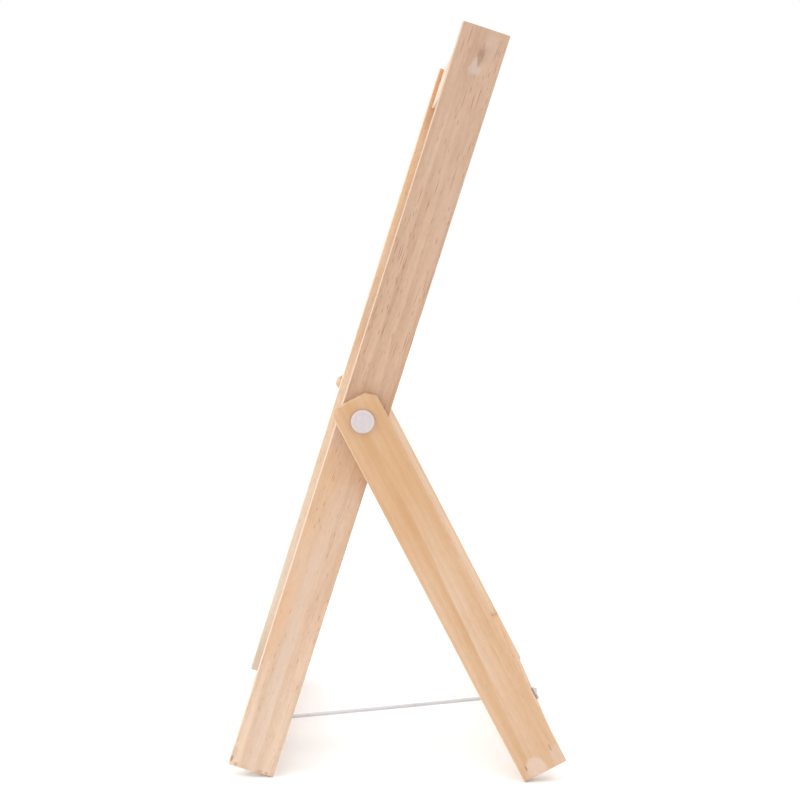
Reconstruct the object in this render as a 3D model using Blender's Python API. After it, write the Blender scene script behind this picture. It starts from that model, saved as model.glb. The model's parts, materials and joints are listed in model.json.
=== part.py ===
"""Folding wooden floor easel: a leaning front frame, two rear legs on pivots and a limiting cord.

Metres, +Z up. The display side faces -Y and the easel stands on the plane Z = 0. Both frames are
modelled upright around their pivot, with +X to the side, +Y to the back and +Z along the plank, and
an empty on the pivot axis leans each of them.
"""
import math

import bmesh
import bpy
from mathutils import Matrix, Vector

# Driving dimensions
PLANK_DEPTH = 0.075             # every plank is cut from the same stock
PLANK_THICK = 0.018
EDGE_ROUND = 0.002              # eased long edges
GAP = 0.0003                    # between pieces that touch
FRAME_WIDTH = 0.402             # over the outer faces of the posts
POST_LENGTH = 1.210
POST_BELOW_PIVOT = 0.5895
POST_LEAN = math.radians(17.0)
LEG_LEAN = math.radians(27.8)
LEG_ABOVE_PIVOT = 0.036
LEG_GAP = 0.002                 # washer space between a post and its leg
LEG_FRONT_CLIP = (0.0095, 0.0080)    # clipped top corners, across and along the leg
LEG_BACK_CLIP = (0.0140, 0.0120)

TOP_RAIL_SETBACK = 0.008        # behind the posts' front edges
REAR_RAIL_SETBACK = 0.001       # inside the legs' back edges
REAR_RAIL_RAISE = 0.030         # above the legs' ends

TRAY_HEIGHT = 0.100             # top of the tray base, above the pivot
TRAY_SETBACK = 0.016
LIP_THICK = 0.008
LIP_HEIGHT = 0.030
BOARD_SETBACK = 0.045
BOARD_THICK = 0.006
BOARD_TOP = 0.590               # above the pivot
GROOVE_DEPTH = 0.006

DOWEL_RADIUS = 0.004
DOWEL_IN_POST = 0.012
DOWEL_IN_RAIL = 0.018
DOWEL_END_ROOM = 0.001

BOLT_RADIUS = 0.004
BOLT_HEAD_RADIUS = 0.009
BOLT_HEAD_THICK = 0.003
BOLT_SOCKET_RADIUS = 0.0029
BOLT_SOCKET_DEPTH = 0.0018
BORE_RADIUS = 0.0043
SPACER_RADIUS = 0.013
WASHER_RADIUS = 0.010
WASHER_THICK = 0.0016
NUT_ACROSS_FLATS = 0.013
NUT_THICK = 0.008
OUTER_CAP_RADIUS = 0.018
OUTER_CAP_HEIGHT = 0.0052
INNER_CAP_RADIUS = 0.0115
INNER_CAP_HEIGHT = 0.013
INNER_CAP_WALL = 0.0018

CORD_X = 0.088
CORD_RADIUS = 0.003
CORD_HOLE_RADIUS = 0.005
CORD_POINTS = 34
CORD_SAG = 0.0015
CORD_SWAY = 0.0016              # how far the cord stands off its hole's axis at the mouth
KNOT_RADIUS = 0.0078
KNOT_LENGTH = 0.015

# Worked out from them
HALF_DEPTH = PLANK_DEPTH / 2
POST_TOP = POST_LENGTH - POST_BELOW_PIVOT
POST_OUTER = FRAME_WIDTH / 2
POST_INNER = POST_OUTER - PLANK_THICK
LEG_INNER = POST_OUTER + LEG_GAP
LEG_OUTER = LEG_INNER + PLANK_THICK
PIVOT_Z = POST_BELOW_PIVOT * math.cos(POST_LEAN) + HALF_DEPTH * math.sin(POST_LEAN)
LEG_BELOW_PIVOT = (PIVOT_Z - HALF_DEPTH * math.sin(LEG_LEAN)) / math.cos(LEG_LEAN)
FRONT_REACH = POST_BELOW_PIVOT * math.sin(POST_LEAN) + HALF_DEPTH * math.cos(POST_LEAN)
BACK_REACH = LEG_BELOW_PIVOT * math.sin(LEG_LEAN) + HALF_DEPTH * math.cos(LEG_LEAN)
PIVOT_Y = (FRONT_REACH - BACK_REACH) / 2
RAIL_HALF = POST_INNER - GAP
REAR_RAIL_HALF = LEG_INNER - GAP
BOTTOM_RAIL_MID = HALF_DEPTH - POST_BELOW_PIVOT
REAR_RAIL_MID = HALF_DEPTH + REAR_RAIL_RAISE - LEG_BELOW_PIVOT
REAR_RAIL_BACK = HALF_DEPTH - REAR_RAIL_SETBACK
REAR_RAIL_FRONT = REAR_RAIL_BACK - PLANK_THICK

PINE_PINK = (0.70, 0.47, 0.33, 1.0)
PINE_YELLOW = (0.74, 0.50, 0.31, 1.0)
BEECH = (0.62, 0.42, 0.26, 1.0)
BOARD_WHITE = (0.82, 0.82, 0.80, 1.0)
ZINC = (0.62, 0.63, 0.65, 1.0)
CAP_WHITE = (0.78, 0.76, 0.77, 1.0)
CORD_WHITE = (0.72, 0.72, 0.73, 1.0)


def clear_scene():
    for item in list(bpy.data.objects):
        bpy.data.objects.remove(item, do_unlink=True)


def material(name, colour, roughness, metallic=0.0):
    found = bpy.data.materials.new(name)
    found.use_nodes = True
    shader = found.node_tree.nodes["Principled BSDF"]
    shader.inputs["Base Color"].default_value = colour
    shader.inputs["Roughness"].default_value = roughness
    shader.inputs["Metallic"].default_value = metallic
    return found


def pivot_empty(name, lean):
    """An empty on the pivot axis that leans everything under it; a positive lean is to the back."""
    empty = bpy.data.objects.new(name, None)
    bpy.context.collection.objects.link(empty)
    empty.location = (0.0, PIVOT_Y, PIVOT_Z)
    empty.rotation_euler = (-lean, 0.0, 0.0)
    return empty


def add_object(name, form, parent, finish):
    """Turn a bmesh into a named object whose origin is on the pivot axis."""
    bmesh.ops.recalc_face_normals(form, faces=form.faces)
    mesh = bpy.data.meshes.new(name)
    form.to_mesh(mesh)
    form.free()
    made = bpy.data.objects.new(name, mesh)
    bpy.context.collection.objects.link(made)
    made.parent = parent
    colour, roughness, metallic = finish
    mesh.materials.append(material(name, colour, roughness, metallic))
    return made


def box(form, low, high):
    """Add a box between two corners."""
    size = Vector(high) - Vector(low)
    place = Matrix.Translation((Vector(low) + Vector(high)) / 2) @ Matrix.Diagonal((*size, 1.0))
    bmesh.ops.create_cube(form, size=1.0, matrix=place)


def rod(form, start, end, radius, sides=20):
    """Add a closed cylinder between two points."""
    start = Vector(start)
    along = Vector(end) - start
    place = Matrix.Translation(start + along / 2) @ along.to_track_quat("Z", "Y").to_matrix().to_4x4()
    bmesh.ops.create_cone(form, cap_ends=True, segments=sides, radius1=radius, radius2=radius,
                          depth=along.length, matrix=place)


def turned(form, profile, sides=48):
    """Spin a closed outline of (distance from the axis, distance along X) about the X axis."""
    ring = [form.verts.new((along, out, 0.0)) for out, along in profile]
    edges = [form.edges.new((ring[i], ring[(i + 1) % len(ring)])) for i in range(len(ring))]
    bmesh.ops.spin(form, geom=ring + edges, axis=(1.0, 0.0, 0.0), cent=(0.0, 0.0, 0.0),
                   angle=2 * math.pi, steps=sides, use_merge=True, use_duplicate=False)
    bmesh.ops.remove_doubles(form, verts=form.verts, dist=0.00002)
    loose = [face for face in form.faces if face.calc_area() < 1e-12]
    bmesh.ops.delete(form, geom=loose, context="FACES_ONLY")


def shift(form, distance, flip):
    """Move a shape made around X = 0 to its place on the pivot axis, mirrored on the left side."""
    bmesh.ops.translate(form, verts=form.verts, vec=(distance, 0.0, 0.0))
    if flip < 0:
        bmesh.ops.scale(form, verts=form.verts, vec=(-1.0, 1.0, 1.0))
        bmesh.ops.reverse_faces(form, faces=form.faces)


def cut(target, parent, fill):
    """Subtract a hidden shape, filled in by the function, from an object."""
    form = bmesh.new()
    fill(form)
    cutter = add_object("cutter_" + target.name, form, parent, (BEECH, 0.5, 0.0))
    cutter.hide_render = True
    cutter.display_type = "WIRE"
    trim = target.modifiers.new("Holes", "BOOLEAN")
    trim.operation = "DIFFERENCE"
    trim.object = cutter


def ease(target):
    """Round the plank's long edges before anything is cut out of it."""
    rounding = target.modifiers.new("Eased edges", "BEVEL")
    rounding.width = EDGE_ROUND
    rounding.segments = 3
    rounding.limit_method = "WEIGHT"


def mark_long_edges(form, grain):
    """Give full bevel weight to the edges that run with the grain."""
    weight = form.edges.layers.float.new("bevel_weight_edge")
    for edge in form.edges:
        along = (edge.verts[1].co - edge.verts[0].co).normalized()
        if abs(along.dot(grain)) > 0.5:
            edge[weight] = 1.0


def upright_plank(name, outline, inner_x, side, parent, finish):
    """A plank standing on edge: its outline in Y and Z, made PLANK_THICK wide along X."""
    form = bmesh.new()
    face = form.faces.new([form.verts.new((side * inner_x, y, z)) for y, z in outline])
    grown = bmesh.ops.extrude_face_region(form, geom=[face])["geom"]
    moved = [item for item in grown if isinstance(item, bmesh.types.BMVert)]
    bmesh.ops.translate(form, verts=moved, vec=(side * PLANK_THICK, 0.0, 0.0))
    mark_long_edges(form, Vector((0.0, 0.0, 1.0)))
    plank = add_object(name, form, parent, finish)
    ease(plank)
    return plank


def cross_plank(name, half_width, low, high, parent, finish):
    """A plank lying across the frame, with its two (Y, Z) corners given."""
    form = bmesh.new()
    box(form, (-half_width, *low), (half_width, *high))
    mark_long_edges(form, Vector((1.0, 0.0, 0.0)))
    plank = add_object(name, form, parent, finish)
    ease(plank)
    return plank


def dowel_places(rail_half, spots):
    """Each dowel's side, (Y, Z) place and joint plane."""
    return [(side, y, z, side * rail_half) for side in (-1, 1) for y, z in spots]


def dowels(name, places, parent):
    for number, (side, y, z, joint) in enumerate(places, start=1):
        form = bmesh.new()
        rod(form, (joint - side * (DOWEL_IN_RAIL - DOWEL_END_ROOM), y, z),
            (joint + side * (DOWEL_IN_POST - DOWEL_END_ROOM), y, z), DOWEL_RADIUS, sides=16)
        pin = add_object(name + "_" + str(number), form, parent, (BEECH, 0.6, 0.0))
        pin.data.shade_smooth()
        pin.data.set_sharp_from_angle(angle=math.radians(35))


def dowel_holes(form, places):
    for side, y, z, joint in places:
        rod(form, (joint - side * DOWEL_IN_RAIL, y, z), (joint + side * DOWEL_IN_POST, y, z),
            DOWEL_RADIUS + GAP, sides=16)


def front_frame(axis):
    """Posts, rails, board and tray, leaning back from the floor."""
    pine = (PINE_PINK, 0.55, 0.0)
    top_rail_y = TOP_RAIL_SETBACK - HALF_DEPTH
    tray_front = TRAY_SETBACK - HALF_DEPTH
    tray_back = tray_front + LIP_THICK
    tray_low = TRAY_HEIGHT - PLANK_THICK
    board_y = BOARD_SETBACK - HALF_DEPTH

    top_spots = [(top_rail_y + PLANK_THICK / 2, POST_TOP - inset) for inset in (0.020, 0.055)]
    bottom_spots = [(0.0, BOTTOM_RAIL_MID + rise) for rise in (-0.020, 0.020)]
    tray_spots = [(y, TRAY_HEIGHT - PLANK_THICK / 2) for y in (0.0, 0.024)]
    groups = {
        "top_rail_dowel": dowel_places(RAIL_HALF, top_spots),
        "bottom_rail_dowel": dowel_places(RAIL_HALF, bottom_spots),
        "tray_dowel": dowel_places(RAIL_HALF, tray_spots),
    }
    for name, places in groups.items():
        dowels(name, places, axis)

    outline = [(-HALF_DEPTH, -POST_BELOW_PIVOT), (HALF_DEPTH, -POST_BELOW_PIVOT),
               (HALF_DEPTH, POST_TOP), (-HALF_DEPTH, POST_TOP)]
    for name, side in (("post_left", -1), ("post_right", 1)):
        post = upright_plank(name, outline, POST_INNER, side, axis, pine)

        def post_cuts(form, side=side):
            rod(form, (side * (POST_INNER - 0.01), 0.0, 0.0), (side * (POST_OUTER + 0.01), 0.0, 0.0),
                BORE_RADIUS)
            for places in groups.values():
                dowel_holes(form, [place for place in places if place[0] == side])
            inner, outer = sorted((side * (POST_INNER - 0.01), side * (POST_INNER + GROOVE_DEPTH)))
            box(form, (inner, board_y - GAP, TRAY_HEIGHT + GAP),
                (outer, board_y + BOARD_THICK + GAP, BOARD_TOP + GAP))

        cut(post, axis, post_cuts)

    top_rail = cross_plank("top_rail", RAIL_HALF, (top_rail_y, POST_TOP - PLANK_DEPTH),
                           (top_rail_y + PLANK_THICK, POST_TOP), axis, pine)
    cut(top_rail, axis, lambda form: dowel_holes(form, groups["top_rail_dowel"]))

    bottom_rail = cross_plank("front_bottom_rail", RAIL_HALF, (-PLANK_THICK / 2, -POST_BELOW_PIVOT),
                              (PLANK_THICK / 2, PLANK_DEPTH - POST_BELOW_PIVOT), axis, pine)

    def bottom_rail_cuts(form):
        dowel_holes(form, groups["bottom_rail_dowel"])
        rod(form, (CORD_X, -PLANK_THICK, BOTTOM_RAIL_MID), (CORD_X, PLANK_THICK, BOTTOM_RAIL_MID),
            CORD_HOLE_RADIUS)

    cut(bottom_rail, axis, bottom_rail_cuts)

    tray_base = cross_plank("tray_base", RAIL_HALF, (tray_back + GAP, tray_low),
                            (HALF_DEPTH, TRAY_HEIGHT), axis, pine)
    cut(tray_base, axis, lambda form: dowel_holes(form, groups["tray_dowel"]))
    cross_plank("tray_lip", RAIL_HALF, (tray_front, tray_low), (tray_back, tray_low + LIP_HEIGHT),
                axis, pine)

    form = bmesh.new()
    reach = POST_INNER + GROOVE_DEPTH - 2 * GAP
    box(form, (-reach, board_y, TRAY_HEIGHT + 2 * GAP), (reach, board_y + BOARD_THICK, BOARD_TOP - GAP))
    add_object("drawing_board", form, axis, (BOARD_WHITE, 0.25, 0.0))


def rear_frame(axis):
    """Legs and the rail between them, leaning forward from the floor."""
    pine = (PINE_YELLOW, 0.55, 0.0)
    spots = [((REAR_RAIL_BACK + REAR_RAIL_FRONT) / 2, REAR_RAIL_MID + rise) for rise in (-0.020, 0.020)]
    places = dowel_places(REAR_RAIL_HALF, spots)
    dowels("rear_rail_dowel", places, axis)

    front_across, front_along = LEG_FRONT_CLIP
    back_across, back_along = LEG_BACK_CLIP
    outline = [(-HALF_DEPTH, -LEG_BELOW_PIVOT), (HALF_DEPTH, -LEG_BELOW_PIVOT),
               (HALF_DEPTH, LEG_ABOVE_PIVOT - back_along), (HALF_DEPTH - back_across, LEG_ABOVE_PIVOT),
               (front_across - HALF_DEPTH, LEG_ABOVE_PIVOT), (-HALF_DEPTH, LEG_ABOVE_PIVOT - front_along)]
    for name, side in (("leg_left", -1), ("leg_right", 1)):
        leg = upright_plank(name, outline, LEG_INNER, side, axis, pine)

        def leg_cuts(form, side=side):
            rod(form, (side * (LEG_INNER - 0.01), 0.0, 0.0), (side * (LEG_OUTER + 0.01), 0.0, 0.0),
                BORE_RADIUS)
            dowel_holes(form, [place for place in places if place[0] == side])

        cut(leg, axis, leg_cuts)

    rail = cross_plank("rear_rail", REAR_RAIL_HALF, (REAR_RAIL_FRONT, REAR_RAIL_MID - HALF_DEPTH),
                       (REAR_RAIL_BACK, REAR_RAIL_MID + HALF_DEPTH), axis, pine)

    def rail_cuts(form):
        dowel_holes(form, places)
        rod(form, (CORD_X, REAR_RAIL_FRONT - 0.01, REAR_RAIL_MID),
            (CORD_X, REAR_RAIL_BACK + 0.01, REAR_RAIL_MID), CORD_HOLE_RADIUS)

    cut(rail, axis, rail_cuts)


def arc(centre, radius, start, end, steps):
    """Points of a quarter round in an outline, with angles in degrees."""
    for i in range(steps + 1):
        angle = math.radians(start + (end - start) * i / steps)
        yield centre[0] + radius * math.cos(angle), centre[1] + radius * math.sin(angle)


def outer_cap(form):
    """A low round cap with a rolled rim, a shallow ring and a dimple, hollow over the bolt's head."""
    rim = 0.0022
    hollow = BOLT_HEAD_RADIUS + 0.0006
    hollow_depth = BOLT_HEAD_THICK + 2 * GAP
    centre = (OUTER_CAP_RADIUS - rim, OUTER_CAP_HEIGHT - rim)
    profile = [(hollow, 0.0), (OUTER_CAP_RADIUS, 0.0)]
    profile += list(arc(centre, rim, 0, 90, 5))
    profile += [(0.0132, OUTER_CAP_HEIGHT - 0.0001), (0.0122, OUTER_CAP_HEIGHT - 0.0006),
                (0.0108, OUTER_CAP_HEIGHT - 0.0004), (0.0050, OUTER_CAP_HEIGHT - 0.0004),
                (0.0020, OUTER_CAP_HEIGHT - 0.0008), (0.0, OUTER_CAP_HEIGHT - 0.0009),
                (0.0, hollow_depth), (hollow, hollow_depth)]
    turned(form, profile)


def inner_cap(form):
    """A thimble over the nut, open towards the post."""
    rim = 0.0025
    bore = INNER_CAP_RADIUS - INNER_CAP_WALL
    floor = INNER_CAP_HEIGHT - INNER_CAP_WALL
    profile = [(bore, 0.0), (INNER_CAP_RADIUS, 0.0)]
    profile += list(arc((INNER_CAP_RADIUS - rim, INNER_CAP_HEIGHT - rim), rim, 0, 90, 4))
    profile += [(0.0, INNER_CAP_HEIGHT), (0.0, floor), (bore, floor)]
    turned(form, profile, sides=32)
    bmesh.ops.scale(form, verts=form.verts, vec=(-1.0, 1.0, 1.0))


def flat_ring(form, radius, bore, thick, sides=32):
    turned(form, [(bore, 0.0), (radius, 0.0), (radius, thick), (bore, thick)], sides)


def bolt(form, length):
    """A round-headed bolt with a six-sided socket, its head outwards from X = 0."""
    head_edge = BOLT_HEAD_THICK - 0.0008
    socket = BOLT_HEAD_THICK - BOLT_SOCKET_DEPTH
    turned(form, [(0.0, -length), (BOLT_RADIUS - 0.0006, -length), (BOLT_RADIUS, 0.0006 - length),
                  (BOLT_RADIUS, 0.0), (BOLT_HEAD_RADIUS, 0.0), (BOLT_HEAD_RADIUS, head_edge),
                  (BOLT_HEAD_RADIUS - 0.0008, BOLT_HEAD_THICK), (BOLT_SOCKET_RADIUS, BOLT_HEAD_THICK),
                  (BOLT_SOCKET_RADIUS, socket), (0.0, socket)], sides=30)


def nut(form):
    """A hexagon nut with its hole, bored through from face to face."""
    corner = NUT_ACROSS_FLATS / math.sqrt(3)
    sides = 24
    rings = []
    for x in (0.0, NUT_THICK):
        inner = []
        outer = []
        for i in range(sides):
            angle = 2 * math.pi * i / sides
            flat = math.cos((angle + math.pi / 6) % (math.pi / 3) - math.pi / 6)
            reach = corner * math.cos(math.pi / 6) / flat
            inner.append(form.verts.new((x, BORE_RADIUS * math.cos(angle), BORE_RADIUS * math.sin(angle))))
            outer.append(form.verts.new((x, reach * math.cos(angle), reach * math.sin(angle))))
        rings.append((inner, outer))
    (inner_a, outer_a), (inner_b, outer_b) = rings
    for i in range(sides):
        j = (i + 1) % sides
        form.faces.new((inner_a[i], inner_a[j], outer_a[j], outer_a[i]))
        form.faces.new((inner_b[i], inner_b[j], outer_b[j], outer_b[i]))
        form.faces.new((outer_a[i], outer_a[j], outer_b[j], outer_b[i]))
        form.faces.new((inner_a[i], inner_a[j], inner_b[j], inner_b[i]))


def pivot_hardware(front_axis, rear_axis):
    """On each side: cap, bolt, leg, spacer, post, washer, nut and cap, from outside to inside."""
    plastic = (CAP_WHITE, 0.35, 0.0)
    zinc = (ZINC, 0.35, 0.9)
    washer_at = POST_INNER - GAP - WASHER_THICK
    nut_at = washer_at - GAP - NUT_THICK
    bolt_length = LEG_OUTER + GAP - nut_at + 0.0015
    stack = (
        ("outer_cap", outer_cap, LEG_OUTER + GAP, rear_axis, plastic),
        ("pivot_bolt", lambda form: bolt(form, bolt_length), LEG_OUTER + GAP, rear_axis, zinc),
        ("spacer_washer", lambda form: flat_ring(form, SPACER_RADIUS, BORE_RADIUS, LEG_GAP - 2 * GAP),
         POST_OUTER + GAP, front_axis, plastic),
        ("inner_washer", lambda form: flat_ring(form, WASHER_RADIUS, BORE_RADIUS, WASHER_THICK),
         washer_at, front_axis, zinc),
        ("pivot_nut", nut, nut_at, rear_axis, zinc),
        ("inner_cap", inner_cap, washer_at - GAP, rear_axis, plastic),
    )
    for side_name, side in (("left", -1), ("right", 1)):
        for name, fill, place, axis, finish in stack:
            form = bmesh.new()
            fill(form)
            shift(form, place, side)
            piece = add_object(name + "_" + side_name, form, axis, finish)
            piece.data.shade_smooth()
            piece.data.set_sharp_from_angle(angle=math.radians(35))


def in_front_frame(y, z):
    """World point of a place in the leaning front frame, on the cord's plane."""
    return Vector((CORD_X, PIVOT_Y + y * math.cos(POST_LEAN) + z * math.sin(POST_LEAN),
                   PIVOT_Z - y * math.sin(POST_LEAN) + z * math.cos(POST_LEAN)))


def in_rear_frame(y, z):
    """World point of a place in the leaning rear frame, on the cord's plane."""
    return Vector((CORD_X, PIVOT_Y + y * math.cos(LEG_LEAN) - z * math.sin(LEG_LEAN),
                   PIVOT_Z + y * math.sin(LEG_LEAN) + z * math.cos(LEG_LEAN)))


def smooth_curve(route, count):
    """Evenly spaced points of a Catmull-Rom curve through the route's points."""
    padded = [2 * route[0] - route[1], *route, 2 * route[-1] - route[-2]]
    fine = []
    for a, b, c, d in zip(padded, padded[1:], padded[2:], padded[3:]):
        for step in range(40):
            t = step / 40
            fine.append(0.5 * (2 * b + (c - a) * t + (2 * a - 5 * b + 4 * c - d) * t * t
                               + (3 * b - a - 3 * c + d) * t * t * t))
    fine.append(route[-1])
    travelled = [0.0]
    for a, b in zip(fine, fine[1:]):
        travelled.append(travelled[-1] + (b - a).length)
    points = []
    place = 0
    for i in range(count):
        goal = travelled[-1] * i / (count - 1)
        while place < len(fine) - 2 and travelled[place + 1] < goal:
            place += 1
        share = (goal - travelled[place]) / (travelled[place + 1] - travelled[place])
        points.append(fine[place].lerp(fine[place + 1], share))
    return points


def cord_route():
    """From the front knot, through the bottom rail, across to the rear rail and its knot."""
    front = PLANK_THICK / 2
    near_front = in_front_frame(front, BOTTOM_RAIL_MID + CORD_SWAY)
    near_rear = in_rear_frame(REAR_RAIL_FRONT, REAR_RAIL_MID + CORD_SWAY)
    span = near_rear - near_front
    sag = Vector((0.0, 0.0, -CORD_SAG))
    lift = Vector((0.0, 0.0, -0.0006))
    return [
        in_front_frame(-front, BOTTOM_RAIL_MID - CORD_SWAY),
        in_front_frame(0.0, BOTTOM_RAIL_MID),
        near_front,
        near_front + span * 0.05 + lift,
        near_front + span * 0.25 + sag * 0.75,
        near_front + span * 0.50 + sag,
        near_front + span * 0.75 + sag * 0.75,
        near_front + span * 0.95 + lift,
        near_rear,
        in_rear_frame((REAR_RAIL_FRONT + REAR_RAIL_BACK) / 2, REAR_RAIL_MID),
        in_rear_frame(REAR_RAIL_BACK, REAR_RAIL_MID - CORD_SWAY),
    ]


def cord():
    curve = bpy.data.curves.new("cord", "CURVE")
    curve.dimensions = "3D"
    curve.bevel_depth = CORD_RADIUS
    curve.bevel_resolution = 2
    curve.use_fill_caps = True
    line = curve.splines.new("POLY")
    points = smooth_curve(cord_route(), CORD_POINTS)
    line.points.add(len(points) - 1)
    for target, point in zip(line.points, points):
        target.co = (*point, 1.0)
    made = bpy.data.objects.new("cord", curve)
    bpy.context.collection.objects.link(made)
    curve.materials.append(material("cord", CORD_WHITE, 0.8))


def knot(name, face_y, direction, z, axis):
    """A rounded stopper knot pressed against a rail's face, where the cord comes out."""
    form = bmesh.new()
    bmesh.ops.create_uvsphere(form, u_segments=16, v_segments=10, radius=1.0)
    bmesh.ops.scale(form, verts=form.verts, vec=(KNOT_RADIUS, KNOT_LENGTH / 2, KNOT_RADIUS))
    centre = (CORD_X, face_y + direction * (GAP + KNOT_LENGTH / 2), z - CORD_SWAY)
    bmesh.ops.translate(form, verts=form.verts, vec=centre)
    made = add_object(name, form, axis, (CORD_WHITE, 0.8, 0.0))
    made.data.shade_smooth()


def main():
    clear_scene()
    front_axis = pivot_empty("front_frame_axis", POST_LEAN)
    rear_axis = pivot_empty("rear_frame_axis", -LEG_LEAN)
    front_frame(front_axis)
    rear_frame(rear_axis)
    pivot_hardware(front_axis, rear_axis)
    cord()
    knot("front_knot", -PLANK_THICK / 2, -1, BOTTOM_RAIL_MID, front_axis)
    knot("rear_knot", REAR_RAIL_BACK, 1, REAR_RAIL_MID, rear_axis)


main()
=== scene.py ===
"""Looks of the folding wooden floor easel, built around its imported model.

Metres, +Z up. The display side faces -Y. Every piece keeps its place in its mesh and its origin at
the world's origin, so that a material can work out a plank's own directions from object coordinates.
"""
import json
import math

import bmesh
import bpy
from mathutils import Matrix, Vector, noise


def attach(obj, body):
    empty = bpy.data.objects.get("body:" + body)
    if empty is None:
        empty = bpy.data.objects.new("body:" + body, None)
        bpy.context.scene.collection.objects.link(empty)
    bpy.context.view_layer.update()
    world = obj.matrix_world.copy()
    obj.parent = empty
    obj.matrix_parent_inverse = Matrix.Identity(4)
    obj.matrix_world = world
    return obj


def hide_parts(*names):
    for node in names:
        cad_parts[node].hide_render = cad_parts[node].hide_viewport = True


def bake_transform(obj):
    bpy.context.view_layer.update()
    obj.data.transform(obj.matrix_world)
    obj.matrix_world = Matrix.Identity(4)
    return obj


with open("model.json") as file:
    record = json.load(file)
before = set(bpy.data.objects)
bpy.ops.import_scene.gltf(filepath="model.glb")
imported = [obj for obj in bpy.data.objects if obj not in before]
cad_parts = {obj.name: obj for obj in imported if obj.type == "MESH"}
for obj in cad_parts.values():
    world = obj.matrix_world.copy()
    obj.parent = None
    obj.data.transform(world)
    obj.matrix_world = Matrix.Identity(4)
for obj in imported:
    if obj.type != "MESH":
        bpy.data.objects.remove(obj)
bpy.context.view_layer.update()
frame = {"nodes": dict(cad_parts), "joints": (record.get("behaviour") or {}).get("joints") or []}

# The design's dimensions, as part.py has them
POST_LEAN = math.radians(17.0)
LEG_LEAN = math.radians(27.8)
PIVOT = Vector(frame["joints"][0]["pos_m"])
IN_FRONT = Matrix.Translation(PIVOT) @ Matrix.Rotation(-POST_LEAN, 4, "X")
IN_REAR = Matrix.Translation(PIVOT) @ Matrix.Rotation(LEG_LEAN, 4, "X")
PLANK_DEPTH = 0.075
PLANK_THICK = 0.018
HALF_DEPTH = PLANK_DEPTH / 2
GAP = 0.0003
POST_OUTER = 0.201
POST_INNER = POST_OUTER - PLANK_THICK
LEG_GAP = 0.002
LEG_INNER = POST_OUTER + LEG_GAP
LEG_OUTER = LEG_INNER + PLANK_THICK
POST_BELOW_PIVOT = 0.5895
POST_TOP = 1.210 - POST_BELOW_PIVOT
LEG_ABOVE_PIVOT = 0.036
LEG_BELOW_PIVOT = (PIVOT.z - HALF_DEPTH * math.sin(LEG_LEAN)) / math.cos(LEG_LEAN)
BOTTOM_RAIL_MID = HALF_DEPTH - POST_BELOW_PIVOT
REAR_RAIL_MID = HALF_DEPTH + 0.030 - LEG_BELOW_PIVOT
REAR_RAIL_BACK = HALF_DEPTH - 0.001
REAR_RAIL_FRONT = REAR_RAIL_BACK - PLANK_THICK
REAR_MIDDLE_Y = (REAR_RAIL_FRONT + REAR_RAIL_BACK) / 2
CORD_X = 0.088
CORD_RADIUS = 0.003
CORD_SAG = 0.0015
CORD_SWAY = 0.0016
SIDES = (("left", -1), ("right", 1))
PLANK_CREASE = 35


def link(obj):
    """Put an object into the scene."""
    bpy.context.scene.collection.objects.link(obj)
    return obj


def smooth_but_creased(mesh, degrees):
    """Shade a mesh smooth, with a crease where its faces turn by more than so many degrees."""
    mesh.shade_smooth()
    mesh.set_sharp_from_angle(angle=math.radians(degrees))


def mesh_object(name, verts, faces, crease=PLANK_CREASE):
    """A mesh object from plain lists."""
    mesh = bpy.data.meshes.new(name)
    mesh.from_pydata(verts, [], faces)
    mesh.validate()
    smooth_but_creased(mesh, crease)
    return link(bpy.data.objects.new(name, mesh))


def stand_for(piece, node, body):
    """Put a piece in a node's place and the body it rides on."""
    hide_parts(node)
    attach(piece, body)


# Camera

def add_camera():
    """Stands beside the easel, turned a little to the back and tilted down, with a slight roll."""
    place = Vector((1.78148, -0.08746, 0.8179))
    yaw, pitch, roll = (math.radians(angle) for angle in (1.736, 5.002, 0.593))
    ahead = Vector((-math.cos(pitch) * math.cos(yaw), math.cos(pitch) * math.sin(yaw), -math.sin(pitch)))
    level = ahead.cross(Vector((0.0, 0.0, 1.0))).normalized()
    upright = level.cross(ahead)
    right = level * math.cos(roll) + upright * math.sin(roll)
    up = upright * math.cos(roll) - level * math.sin(roll)
    camera = link(bpy.data.objects.new("camera", bpy.data.cameras.new("camera")))
    camera.matrix_world = Matrix.Translation(place) @ Matrix((right, up, -ahead)).transposed().to_4x4()
    camera.data.lens = 46.51
    camera.data.sensor_width = 36.0
    camera.data.shift_x = 0.03
    camera.data.shift_y = -0.06
    camera.data.clip_start = 0.05
    camera.data.clip_end = 60.0
    bpy.context.scene.camera = camera


# Cord and knots

CURVE_STEPS = 40
CORD_RINGS = 900
KNOT_RINGS = 240
KNOT_CORD_RADIUS = 0.0026
KNOT_TURNS = 1.25
KNOT_STEPS = 24
BRAID_STRANDS = 8
BRAID_PITCH = 0.020
BRAID_RELIEF = 0.12


def smooth_curve(route, count):
    """Evenly spaced points of a Catmull-Rom curve through the route's points."""
    padded = [2 * route[0] - route[1], *route, 2 * route[-1] - route[-2]]
    fine = []
    for a, b, c, d in zip(padded, padded[1:], padded[2:], padded[3:]):
        for step in range(CURVE_STEPS):
            t = step / CURVE_STEPS
            fine.append(0.5 * (2 * b + (c - a) * t + (2 * a - 5 * b + 4 * c - d) * t * t
                               + (3 * b - a - 3 * c + d) * t * t * t))
    fine.append(route[-1])
    travelled = [0.0]
    for a, b in zip(fine, fine[1:]):
        travelled.append(travelled[-1] + (b - a).length)
    points = []
    place = 0
    for i in range(count):
        goal = travelled[-1] * i / (count - 1)
        while place < len(fine) - 2 and travelled[place + 1] < goal:
            place += 1
        share = (goal - travelled[place]) / (travelled[place + 1] - travelled[place])
        points.append(fine[place].lerp(fine[place + 1], share))
    return points


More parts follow.
